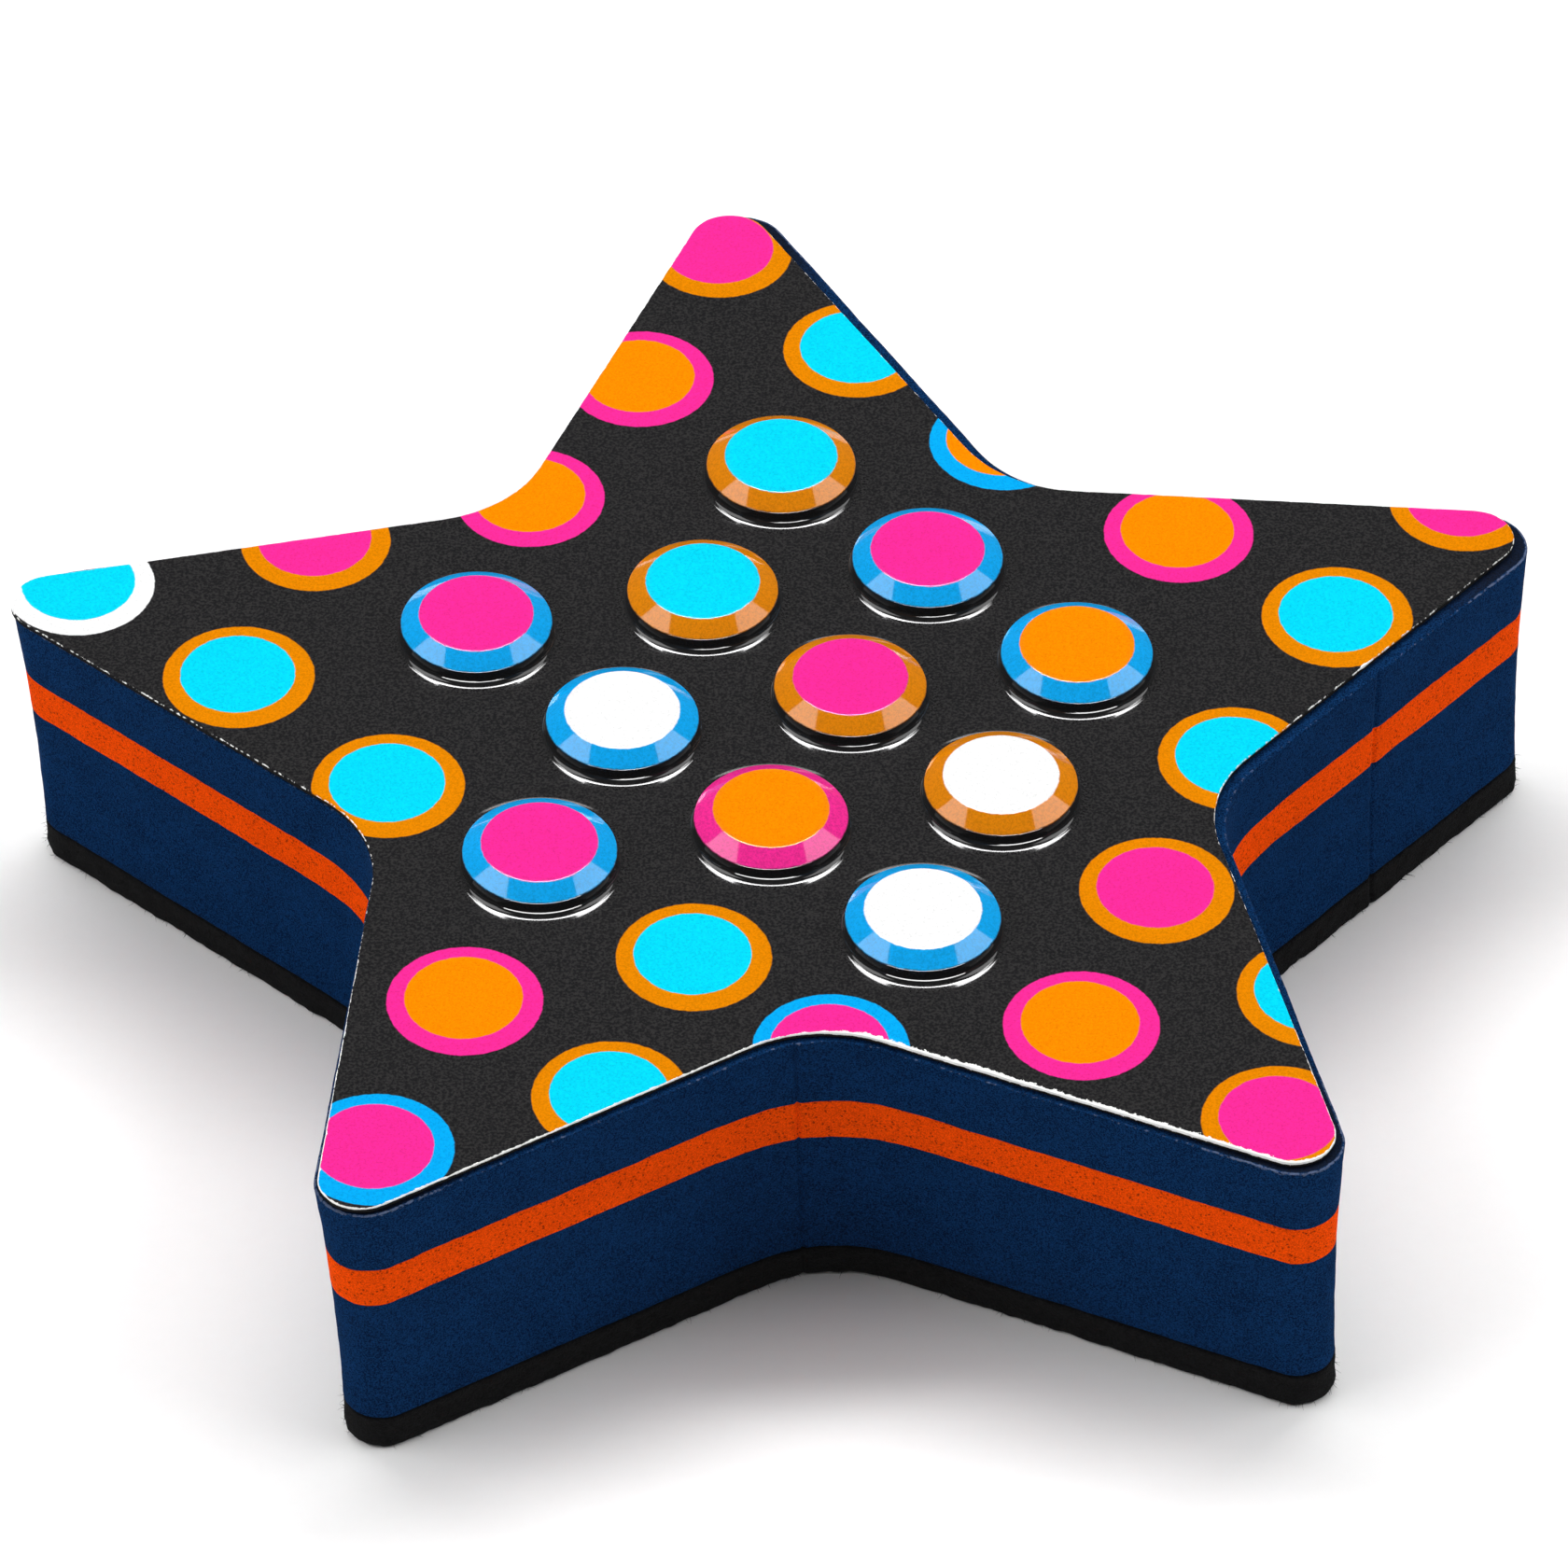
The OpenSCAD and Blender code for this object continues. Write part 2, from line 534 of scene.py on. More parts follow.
def surface(graph: Graph, inputs: dict[str, Value]) -> None:
    """Adds the surface shader and the output.

    Args:
        graph: the material's graph.
        inputs: the shader's inputs.
    """
    shader = graph.add("ShaderNodeBsdfPrincipled", inputs)
    graph.add("ShaderNodeOutputMaterial", {"Surface": shader})


@dataclass(frozen=True)
class FoamFinish:
    """Cut closed-cell foam: mottled, with small dark pores, paler where its top edge is scuffed and carries
    a painted highlight, and with painted shade on its top at the points.

    Attributes:
        name: the material's name.
        colour: the foam's own colour.
        pore: the colour down in its pores.
        scuff_and_highlight: the colour of its scuffed top edge, which also carries a painted highlight along
            the rounding.
        pore_share: how much of a pore's colour shows.
        mottle: how far the colour wanders, as a share.
        ledge_shade: the colour of the painted shade on its top, out at the points, where it lies beside the
            printed sheet's edge.
    """

    name: str
    colour: Colour
    pore: Colour
    scuff_and_highlight: Colour
    pore_share: float = 0.7
    mottle: float = 0.6
    # Painted shade for the top ledge at the points.
    ledge_shade: Colour = linear("141416")

    def make(self) -> bpy.types.Material:
        """Builds the material and returns it."""
        made, g = material(self.name)
        at = g.place()
        wander = g.add("ShaderNodeTexNoise", {"Vector": at, "Scale": 1 / (0.6 * MM), "Detail": 2.0}, "Color")
        bent = g.vector("MULTIPLY_ADD", wander, (0.15 * MM,) * 3)
        g.tree.links.new(at, bent.node.inputs[2])
        pores = g.rise(g.cells(bent, 0.26), 0.14, 0.4, 1.0, 0.0)
        pores = g.math("MULTIPLY", pores, g.rise(g.grain(at, 0.45), 0.42, 0.54))
        fine = g.grain(at, 0.11, 3.0, 0.75)
        cloud = g.grain(at, 2.6, 3.0, 0.6)
        tone = g.math("ADD", g.math("MULTIPLY", fine, 0.9), g.math("MULTIPLY", cloud, 0.1))
        dark = tuple(c * (1 - self.mottle) for c in self.colour)
        light = tuple(min(1.0, c * (1 + self.mottle)) for c in self.colour)
        colour = g.blend(g.rise(tone, 0.4, 0.6), dark, light)
        colour = g.blend(g.math("MULTIPLY", pores, self.pore_share), colour, self.pore)
        scratch = g.add(
            "ShaderNodeTexNoise",
            {"Vector": g.vector("MULTIPLY", at, (1, 1, 2)), "Scale": 1 / (0.3 * MM), "Detail": 4.0},
        )
        # The rounded top edge is blended towards a pale colour: scuffing, and a painted highlight where the
        # edge catches the light.
        worn = g.rise(g.math("SUBTRACT", g.mark("wear"), scratch), -0.04, 0.12)
        # Painted shade: the top face beside the sheet's edge is darkened out at the points.
        colour = g.blend(g.math("MULTIPLY", g.mark("ledge_shade"), 0.8), colour, self.ledge_shade)
        colour = g.blend(g.math("MULTIPLY", worn, 0.3), colour, self.scuff_and_highlight)
        height = g.math("SUBTRACT", g.math("MULTIPLY", fine, 0.8), g.math("MULTIPLY", pores, 0.7))
        normal = g.bump(height, 0.035, g.bump(cloud, 0.08))
        surface(g, {
            "Base Color": colour,
            "Roughness": 0.9,
            "Specular IOR Level": 0.01,
            "Normal": normal,
        })
        return made


@dataclass(frozen=True)
class FeltFinish:
    """Pressed felt: matted fibres that run every way, with a soft sheen.

    Attributes:
        name: the material's name.
        colour: the colour of the shaded fibres.
        tip: the colour of the fibres that catch the light.
    """

    name: str = "black_felt"
    colour: Colour = linear("060607")
    tip: Colour = linear("161617")

    def make(self) -> bpy.types.Material:
        """Builds the material and returns it."""
        made, g = material(self.name)
        at = g.place()
        strands = g.add(
            "ShaderNodeTexNoise",
            {"Vector": at, "Scale": 1 / (0.35 * MM), "Detail": 5.0, "Roughness": 0.75, "Distortion": 1.4},
        )
        across = g.add(
            "ShaderNodeTexNoise",
            {"Vector": g.vector("MULTIPLY", at, (1, 4, 1)), "Scale": 1 / (0.5 * MM), "Detail": 3.0,
             "Distortion": 2.0},
        )
        nap = g.math("ADD", g.math("MULTIPLY", strands, 0.6), g.math("MULTIPLY", across, 0.4))
        surface(g, {
            "Base Color": g.blend(g.rise(nap, 0.42, 0.66), self.colour, self.tip),
            "Roughness": 0.95,
            "Specular IOR Level": 0.02,
            "Sheen Weight": 0.03,
            "Sheen Roughness": 0.6,
            "Normal": g.bump(nap, 0.25),
        })
        return made


@dataclass(frozen=True)
class GlueFinish:
    """Dried contact glue: cloudy, and uneven where the brush went.

    Attributes:
        name: the material's name.
        colour: its colour where it is thick.
        thin: its colour where it is thin.
    """

    name: str = "dried_glue"
    colour: Colour = linear("c9b98a")
    thin: Colour = linear("8d8468")

    def make(self) -> bpy.types.Material:
        """Builds the material and returns it."""
        made, g = material(self.name)
        at = g.place()
        streaks = g.add(
            "ShaderNodeTexNoise",
            {"Vector": g.vector("MULTIPLY", at, (0.2, 1, 1)), "Scale": 1 / (1.2 * MM), "Detail": 4.0},
        )
        surface(g, {
            "Base Color": g.blend(g.rise(streaks, 0.35, 0.65), self.thin, self.colour),
            "Roughness": g.rise(streaks, 0.3, 0.7, 0.3, 0.6),
            "Normal": g.bump(streaks, 0.04),
        })
        return made


@dataclass(frozen=True)
class MagnetFinish:
    """Pressed ferrite: dark, dense and slightly sparkling, with grinding rings.

    Attributes:
        name: the material's name.
        colour: the colour of the matrix.
        grit: the colour of its grains.
    """

    name: str = "grey_ferrite"
    colour: Colour = linear("2c2c2f")
    grit: Colour = linear("5a5a5e")

    def make(self) -> bpy.types.Material:
        """Builds the material and returns it."""
        made, g = material(self.name)
        at = g.place()
        grains = g.grain(at, 0.25, 4.0, 0.7)
        scratches = g.grain(g.vector("MULTIPLY", at, (0.15, 1, 1)), 0.3, 3.0)
        surface(g, {
            "Base Color": g.blend(g.rise(grains, 0.45, 0.7), self.colour, self.grit),
            "Metallic": 0.3,
            "Roughness": g.rise(scratches, 0.3, 0.7, 0.38, 0.6),
            "Normal": g.bump(grains, 0.03, g.bump(scratches, 0.02)),
        })
        return made


@dataclass(frozen=True)
class Dot:
    """One printed dot: a disc of one ink in a ring of another.

    Attributes:
        at: its middle, in mm from the middle of the sheet.
        disc: the ink of its disc.
        ring: the ink of its ring.
        shift: how far the disc's ink landed off the middle, in mm.
    """

    at: tuple[float, float]
    disc: Ink
    ring: Ink
    shift: tuple[float, float] = (-0.06, 0.3)


@dataclass(frozen=True)
class PrintFinish:
    """The printed sheet: dark ground and dots on fine-grained plastic, white where its edge is cut.

    Attributes:
        name: the material's name.
        middle: the middle of the sheet.
        disc_r: radius of a dot's disc, in mm.
        ring_r: radius of a dot's ring, in mm.
        soft: how soft the edge of the ink is, in mm.
        ground: the dark ground.
        ground_light: its lighter grain.
        core: the white plastic at a cut edge.
    """

    name: str
    middle: Vector
    disc_r: float = 3.73
    ring_r: float = 4.92
    soft: float = 0.1
    ground: Colour = linear("212122")
    ground_light: Colour = linear("313030")
    core: Colour = linear("f2f2f0")

    def _dot_group(self) -> bpy.types.NodeTree:
        """Builds the node group that prints one dot over what is below it, and returns it."""
        tree = bpy.data.node_groups.new("printed_dot", "ShaderNodeTree")
        kinds = [("Place", "Vector"), ("Middle", "Vector"), ("Shift", "Vector"), ("Below", "Color"),
                 ("Disc", "Color"), ("Ring", "Color"), ("Wobble", "Float")]
        for name, kind in kinds:
            tree.interface.new_socket(name, in_out="INPUT", socket_type=f"NodeSocket{kind}")
        tree.interface.new_socket("Colour", in_out="OUTPUT", socket_type="NodeSocketColor")
        g = Graph(tree)
        start = tree.nodes.new("NodeGroupInput").outputs
        off = g.vector("MULTIPLY", g.vector("SUBTRACT", start["Place"], start["Middle"]), (1, 1, 0))
        off_disc = g.vector("SUBTRACT", off, start["Shift"])
        colour = start["Below"]
        for vector, radius, ink in ((off, self.ring_r, "Ring"), (off_disc, self.disc_r, "Disc")):
            reach = g.add("ShaderNodeVectorMath", {0: vector}, "Value", operation="LENGTH")
            reach = g.math("ADD", reach, start["Wobble"])
            inked = g.rise(reach, (radius - self.soft / 2) * MM, (radius + self.soft / 2) * MM, 1.0, 0.0)
            colour = g.add("ShaderNodeMix", {0: inked, 6: colour, 7: start[ink]}, 2, data_type="RGBA")
        end = tree.nodes.new("NodeGroupOutput")
        tree.links.new(colour, end.inputs["Colour"])
        return tree

    def make(self, dots: Sequence[Dot]) -> bpy.types.Material:
        """Builds the material.

        Args:
            dots: the printed dots.

        Returns:
            The material.
        """
        made, g = material(self.name)
        at = g.place()
        from_middle = g.vector("SUBTRACT", at, tuple(self.middle))
        hide = g.grain(at, 0.19, 2.0, 0.6)
        pebbles = g.cells(at, 0.3)
        fine = g.grain(at, 0.1, 2.0, 0.6)
        wobble = g.math("MULTIPLY", g.math("SUBTRACT", g.grain(at, 0.5, 2.0), 0.5), 0.12 * MM)
        ground = g.blend(g.rise(hide, 0.4, 0.62), self.ground, self.ground_light)
        group = self._dot_group()
        colour = ground
        for dot in dots:
            inputs = {
                "Place": from_middle,
                "Middle": (dot.at[0] * MM, dot.at[1] * MM, 0),
                "Shift": (dot.shift[0] * MM, dot.shift[1] * MM, 0),
                "Below": colour,
                "Disc": (*dot.disc.value, 1),
                "Ring": (*dot.ring.value, 1),
                "Wobble": wobble,
            }
            node = g.tree.nodes.new("ShaderNodeGroup")
            node.node_tree = group
            for key, value in inputs.items():
                if isinstance(value, bpy.types.NodeSocket):
                    g.tree.links.new(value, node.inputs[key])
                else:
                    node.inputs[key].default_value = value
            colour = node.outputs[0]
        both = g.math("ADD", g.math("MULTIPLY", hide, 0.5), g.math("MULTIPLY", fine, 0.5))
        mottled = g.rise(both, 0.35, 0.6)
        colour = g.blend(g.math("MULTIPLY", g.math("SUBTRACT", 1.0, mottled), 0.24), colour, (0.0, 0.0, 0.0))
        wall = g.mark("wall")
        colour = g.blend(wall, colour, self.ground)
        chips = g.grain(at, 0.45, 4.0, 0.65)
        bare = g.rise(g.math("SUBTRACT", g.mark("wear"), chips), 0.0, 0.06)
        colour = g.blend(bare, colour, self.core)
        gloss = g.mark("gloss")
        height = g.math("ADD", g.math("MULTIPLY", pebbles, 0.8), g.math("MULTIPLY", hide, 0.6))
        flat = g.math("SUBTRACT", 1.0, gloss)
        normal = g.bump(g.math("MULTIPLY", height, flat), 0.03)
        surface(g, {
            "Base Color": colour,
            "Roughness": 0.5,
            "Specular IOR Level": 0.0,
            "Coat Weight": gloss,
            "Coat Roughness": 0.06,
            "Coat IOR": 1.5,
            "Normal": normal,
        })
        return made


@dataclass(frozen=True)
class FloorFinish:
    """The pale paper sweep that the eraser lies on.

    Attributes:
        name: the material's name.
        colour: the paper's own colour.
        shade: the colour between its fibres.
    """

    name: str = "pale_paper"
    colour: Colour = linear("fdfdfd")
    shade: Colour = linear("f8f8f8")

    def make(self) -> bpy.types.Material:
        """Builds the material and returns it."""
        made, g = material(self.name)
        at = g.place()
        fibres = g.grain(at, 1.5, 4.0, 0.6)
        surface(g, {
            "Base Color": g.blend(fibres, self.shade, self.colour),
            "Roughness": 0.9,
            "Specular IOR Level": 0.1,
            "Normal": g.bump(fibres, 0.01),
        })
        return made


# ---------------------------------------------------------------------------------------------
# The pieces
# ---------------------------------------------------------------------------------------------


@dataclass(frozen=True)
class WallCut:
    """The wall that the cutting rule left round the stack of foam, in mm.

    Attributes:
        margin: how far the top of the foam stands out past the printed sheet's outline.
        draft: how far the wall draws in from its top to the wiping face.
        hollow: how far it is hollowed half way down.
        lean: how far the whole cut leans towards -X from the wiping face to the top.
        top: the height of the top of the foam.
        spring: how far the inner corners stand out half way down.
        mark_depth: how deep the line is that each end of the cutting rule left.
    """

    top: float
    margin: float = 0.4
    draft: float = 0.6
    hollow: float = 0.3
    lean: float = 0.8
    spring: float = 0.5
    mark_depth: float = 0.16

    def at(self, station: Station, height: float, inset: float = 0.0, rough: float = 1.0) -> Vector:
        """Finds a place on the cut wall.

        Args:
            station: where on the outline.
            height: the height above the board, in mm.
            inset: how far the place lies inside the wall, in mm.
            rough: how uneven the wall is, as a share.

        Returns:
            The place, in mm.
        """
        depth = (self.top - height) / self.top
        belly = 4 * depth * (1 - depth)
        grow = self.margin - self.draft * depth - self.hollow * belly - inset
        grow += self.spring * belly * station.notch
        grow += rough * (0.04 * ripple(station, height, 4.0, 3.1) + 0.03 * ripple(station, height, 0.9, 7.7))
        if inset < 0.5:
            grow -= self.mark_depth * station.mark * (1 - 2 * inset)
        place = station.place + station.normal * grow
        return Vector((place.x - self.lean * (1 - depth), place.y, height))

    def inside(self, station: Station, height: float, inset: float) -> Vector:
        """Finds a place inside the wall, in mm, without the wall's roughness."""
        return self.at(station, height, inset, 0.0)


@dataclass
class FoamStack:
    """The sheets of foam, each cut with the same wavy wall and meeting its neighbours at the wall.

    Attributes:
        cut: the wall.
        row_step: the height of one row of faces, in mm.
        lip_inset: how far inside the wall a sheet still meets its neighbour, in mm.
        cap_inset: how far inside the wall its flat faces begin, in mm.
        wave: how far a seam wanders up and down, in mm.
    """

    cut: WallCut
    row_step: float = 0.4
    lip_inset: float = 0.25
    cap_inset: float = 0.7
    wave: float = 0.14

    def boundary(self, station: Station, height: float, jagged: float) -> float:
        """Reads how far the seam at a height wanders up or down, in mm."""
        swell = 0.6 * ripple(station, height, 3.2, 11.0) + 0.4 * ripple(station, height, 0.8, 5.0)
        return self.wave * jagged * swell

    def sheet(
        self,
        name: str,
        low: float,
        high: float,
        lips: tuple[float, float],
        rounds: tuple[float, float],
        jagged: tuple[float, float],
        wear: Callable[[Station], float] | None = None,
        caps: bool = True,
    ) -> bpy.types.Object:
        """Cuts one sheet of foam.

        Args:
            name: the piece's name.
            low: the height of its underside, in mm.
            high: the height of its top, in mm.
            lips: how far its edge reaches past its underside and its top to meet its neighbours.
            rounds: how rounded its lower and upper edges are, in mm.
            jagged: how uneven the seam at its underside and at its top is, as a share.
            wear: how scuffed its top edge is at a station, and how strongly the painted highlight along it
                shows.
            caps: closes the underside and the top.

        Returns:
            The sheet.
        """
        bottom, top = low - lips[0], high + lips[1]
        under, over = rounds
        tall = top - over - bottom - under
        count = max(2, round(tall / self.row_step))
        rows = [(low, self.cap_inset, 0.0), (bottom, self.lip_inset, 0.0)]
        rows += [(bottom, under, 0.0), (bottom + 0.3 * under, 0.3 * under, 0.0)]
        rows += [(bottom + under + tall * i / count, 0.0, 0.0) for i in range(count)]
        rows += [(top - over, 0.0, 0.7), (top - 0.3 * over, 0.3 * over, 1.0), (top, over, 1.0)]
        rows += [(top, self.lip_inset, 0.3), (high, self.cap_inset, 0.0)]
        # Shares of scuffing and painted highlight along the top edge.
        scuff_and_highlight_shares = [wear(s) if wear else 0.0 for s in FOAM_EDGE]
        skin = None
        for height, inset, share in rows:
            up = (height - bottom) / (top - bottom)
            keep = 1.0 if inset <= self.lip_inset else 0.0
            ring = []
            for s in FOAM_EDGE:
                shift = (1 - up) * self.boundary(s, bottom + lips[0] / 2, jagged[0])
                shift += up * self.boundary(s, top - lips[1] / 2, jagged[1])
                ring.append(self.cut.at(s, height + keep * shift, inset, keep))
            marks = {"wear": [w * share for w in scuff_and_highlight_shares]}
            # The top face out at the points gets painted shade, where it lies beside the printed sheet's
            # edge.
            shaded_ledge = wear and height >= top and inset > over
            marks["ledge_shade"] = [smooth(s.place.length, 42, 49) if shaded_ledge else 0.0 for s in FOAM_EDGE]
            if skin is None:
                skin = Skin(name, ring, marks)
            else:
                skin.pull(ring, marks)
        return skin.done(caps)


class FeltPad:
    """The felt wiping pad, with a soft lower edge and loose fibres round its wall. Sizes are in mm."""

    fibre_length = 0.6
    fibre_root = 0.022
    fibre_tip = 0.004
    fibre_curl = 0.25
    fibre_depth = 0.12
    seed = 7

    def __init__(self, cut: WallCut, thickness: float) -> None:
        """Keeps the wall that it follows and its thickness in mm."""
        self.cut = cut
        self.thickness = thickness
        self.edge_round = 0.45
        self.fibres = 2600

    def _wall(self) -> bpy.types.Object:
        """Models the pad itself and returns it."""
        r = self.edge_round
        rows = [(0.0, 1.8), (0.0, 1.2)]
        for i in range(6):
            turn = math.pi / 2 * i / 5
            rows.append((r * (1 - math.cos(turn)), r * (1 - math.sin(turn))))
        steps = 6
        rows += [(r + (self.thickness - 0.1 - r) * i / steps, 0.0) for i in range(1, steps + 1)]
        rows += [(self.thickness - 0.03, 0.05), (self.thickness, 0.12), (self.thickness, 0.8)]
        skin = None
        for height, inset in rows:
            rough = 1.0 if inset < 0.7 else 0.0
            ring = []
            for s in FOAM_EDGE:
                tuft = 0.12 * ripple(s, height, 0.7, 31.0) + 0.08 * ripple(s, height, 2.4, 37.0)
                place = self.cut.at(s, height, inset - rough * tuft, 0.0)
                ring.append(place)
            if skin is None:
                skin = Skin("felt_pad_pressed", ring)
            else:
                skin.pull(ring)
        return skin.done(caps=True)

    def _fibre(self) -> bpy.types.Mesh:
        """Models one loose fibre, a thin curved blade, and returns its mesh."""
        leave_all()
        length = self.fibre_length * MM
        bpy.ops.mesh.primitive_cone_add(
            vertices=3, radius1=self.fibre_root * MM, radius2=self.fibre_tip * MM, depth=length
        )
        blade = bpy.context.object
        bpy.ops.object.mode_set(mode="EDIT")
        bpy.ops.mesh.select_all(action="SELECT")
        bpy.ops.transform.translate(value=(0, 0, length / 2))
        bpy.ops.mesh.subdivide(number_cuts=2)
        mesh = bmesh.from_edit_mesh(blade.data)
        for vert in mesh.verts:
            vert.co.x += self.fibre_curl * MM * (vert.co.z / length) ** 2
        bmesh.update_edit_mesh(blade.data)
        leave_all()
        mesh = blade.data
        bpy.data.objects.remove(blade)
        return mesh

    def model(self) -> bpy.types.Object:
        """Models the pad with its fibres and returns it."""
        pad = self._wall()
        fibre = self._fibre()
        dice = random.Random(self.seed)
        grown = bmesh.new()
        plain = [s for s in FOAM_EDGE if s.mark < 0.01]
        for _ in range(self.fibres):
            station = dice.choice(plain)
            height = dice.uniform(0.15, self.thickness - 0.2)
            root = self.cut.inside(station, height, self.fibre_depth) * MM
            out = Vector((station.normal.x, station.normal.y, dice.uniform(-0.9, 0.5)))
            side = Vector((-station.normal.y, station.normal.x, 0)) * dice.uniform(-1.6, 1.6)
            aim = (out + side).normalized().to_track_quat("Z", "X").to_matrix().to_4x4()
            length = dice.uniform(0.5, 1.0)
            turn = Matrix.Rotation(dice.uniform(0, ROUND), 4, "Z") @ Matrix.Diagonal((1, 1, length, 1))
            before = len(grown.verts)
            grown.from_mesh(fibre)
            grown.verts.ensure_lookup_table()
            set_down = Matrix.Translation(root) @ aim @ turn
            bmesh.ops.transform(grown, matrix=set_down, verts=grown.verts[before:])
        loose = bpy.data.meshes.new("felt_fibres")
        grown.to_mesh(loose)
        grown.free()
        for vert in loose.vertices:
            vert.co.z = max(vert.co.z, 0.0)
        fuzz = bpy.data.objects.new("felt_fibres", loose)
        bpy.context.scene.collection.objects.link(fuzz)
        pick(pad, fuzz)
        bpy.ops.object.join()
        return pad


class GlueFilm:
    """A thin film of glue that stops short of the wall, with an uneven edge."""

    def __init__(
        self, edge: Callable[[Station, float, float], Vector], stations: Sequence[Station], inset: float
    ) -> None:
        """Keeps the edge that it follows.

        Args:
            edge: gives a place on that edge, by its station, its height and its inset, in mm.
            stations: the stations of the outline.
            inset: how far the glue stays inside the edge, in mm.
        """
        self.edge = edge
        self.stations = stations
        self.inset = inset

    def model(self, name: str, low: float, high: float) -> bpy.types.Object:
        """Spreads one film.

        Args:
            name: the piece's name.
            low: the height of its underside, in mm.
            high: the height of its top, in mm.

        Returns:
            The film.
        """
        middle = (low + high) / 2
        rows = [(low, 0.5), (low, 0.06), (middle, 0.0), (high, 0.06), (high, 0.5)]
        skin = None
        for height, inset in rows:
            ring = [self.edge(s, height, self.inset + inset + 0.12 * ripple(s, middle, 1.6, 51.0))
                    for s in self.stations]
            if skin is None:
                skin = Skin(name, ring)
            else:
                skin.pull(ring)
        return skin.done(caps=True)


class Magnets:
    """The two ferrite discs in the punched foam sheet."""

    broken_edge = 0.35
    dish_inset = 1.2
    dish_slope = 0.3
    dish_depth = 0.06

    def __init__(self, low: Vector, high: Vector) -> None:
        """Works out the discs from the box of their node, in mm."""
        self.radius = (high.y - low.y) / 2
        self.offset = (high.x - low.x) / 2 - self.radius
        self.middle = (low + high) / 2
        self.thickness = high.z - low.z

    def model(self) -> bpy.types.Object:
        """Models one disc with broken edges and a shallow dish, copies it, and returns both as one."""
        leave_all()
        at = self.middle - Vector((self.offset, 0, 0))
        bpy.ops.mesh.primitive_cylinder_add(
            vertices=96, radius=self.radius * MM, depth=self.thickness * MM, location=at * MM
        )
        disc = bpy.context.object
        bpy.ops.object.transform_apply(location=True)
        bpy.ops.object.mode_set(mode="EDIT")
        bpy.ops.mesh.select_mode(type="FACE")
        bpy.ops.mesh.select_all(action="DESELECT")
        mesh = bmesh.from_edit_mesh(disc.data)
        for face in mesh.faces:
            face.select_set(abs(face.normal.z) > 0.9)
        bmesh.update_edit_mesh(disc.data)
        bpy.ops.mesh.bevel(offset=self.broken_edge * MM, segments=3, affect="EDGES")
        mesh = bmesh.from_edit_mesh(disc.data)
        for face in mesh.faces:
            face.select_set(abs(face.normal.z) > 0.9 and face.calc_area() > (3 * MM) ** 2)
        bmesh.update_edit_mesh(disc.data)
        bpy.ops.mesh.inset(thickness=self.dish_inset * MM, depth=0)
        bpy.ops.mesh.inset(thickness=self.dish_slope * MM, depth=-self.dish_depth * MM)
        leave_all()
        other = disc.copy()
        other.data = disc.data.copy()
        bpy.context.scene.collection.objects.link(other)
        other.data.transform(Matrix.Translation((2 * self.offset * MM, 0, 0)))
        return weld("magnet_discs", [disc, other])


@dataclass
class BumpShape:
    """A grip bump formed up out of the sheet, in mm from the bump's axis and the sheet's top.

    Attributes:
        height: its height over the sheet.
        sheet: the thickness of the sheet.
        top_r: radius of its flat top.
        wall_r: radius of its straight wall.
        bevel_drop: drop of the slanted ring between the top and the wall.
        foot_round: radius of the fillet at its foot.
        shoulder_round: rounding between the slanted ring and the wall.
        rim_round: rounding between the flat top and the slanted ring.
        halo_r: radius out to which the sheet was stretched and made glossy.
        halo_dip: how far the stretched sheet sinks round the foot.
        stations: how many vertices go round it.
    """

    height: float
    sheet: float = 0.4
    top_r: float = 3.7
    wall_r: float = 4.95
    bevel_drop: float = 0.75
    foot_round: float = 0.45
    shoulder_round: float = 0.16
    rim_round: float = 0.14
    halo_r: float = 6.35
    halo_dip: float = 0.05
    stations: int = 96

    def _ring(self, radius: float, height: float) -> Ring:
        """Lays a ring of the bump."""
        turns = (ROUND * i / self.stations for i in range(self.stations))
        return [Vector((radius * math.cos(t), radius * math.sin(t), height)) for t in turns]

    def _marks(self, radius: float, height: float) -> dict[str, float]:
        """Works out how glossy the sheet is there, and where the ink stops."""
        formed = smooth(radius, self.halo_r, self.wall_r + self.foot_round)
        if radius < self.top_r - 0.05:
            formed = 0.0
        under_ink = smooth(height, self.height - self.bevel_drop, self.height - self.bevel_drop - 0.1)
        return {"gloss": formed, "wall": under_ink * smooth(radius, 5.3, 5.0), "wear": 0.0}

    def _skin(self, name: str, inset: float) -> bpy.types.Object:
        """Models the outer skin, or the inner one that lies inset inside it."""
        wall, top = self.wall_r - inset, self.height - inset
        top_r = self.top_r - 0.4 * inset
        corners = [
            (self.halo_r, -inset, 0.0),
            (wall, -inset, self.foot_round + inset),
            (wall, self.height - self.bevel_drop - inset, self.shoulder_round),
            (top_r, top, self.rim_round),
            (0.5, top, 0.0),
        ]
        profile = rounded_profile(corners)
        foot = self.wall_r + self.foot_round
        halo = [(self.halo_r - (self.halo_r - foot) * i / 8, -inset) for i in range(8)]
        disc = [(top_r - 0.4, top), (0.5, top)]
        profile = halo + profile[1:-1] + disc
        skin = None
        for radius, height in profile:
            dip = 0.0
            if inset == 0.0 and radius > foot - 0.2:
                share = (radius - foot + 0.2) / (self.halo_r - foot + 0.2)
                dip = self.halo_dip * math.sin(math.pi * share) ** 2
            ring, marks = self._ring(radius, height - dip), self._marks(radius, height)
            if skin is None:
                skin = Skin(name, ring, marks)
            else:
                skin.pull(ring, marks)
        skin.cover()
        return skin.done()

    def model(self) -> list[bpy.types.Object]:
        """Models the two skins of one bump about the origin, and returns them."""
        return [self._skin("bump_outer", 0.0), self._skin("bump_inner", self.sheet)]


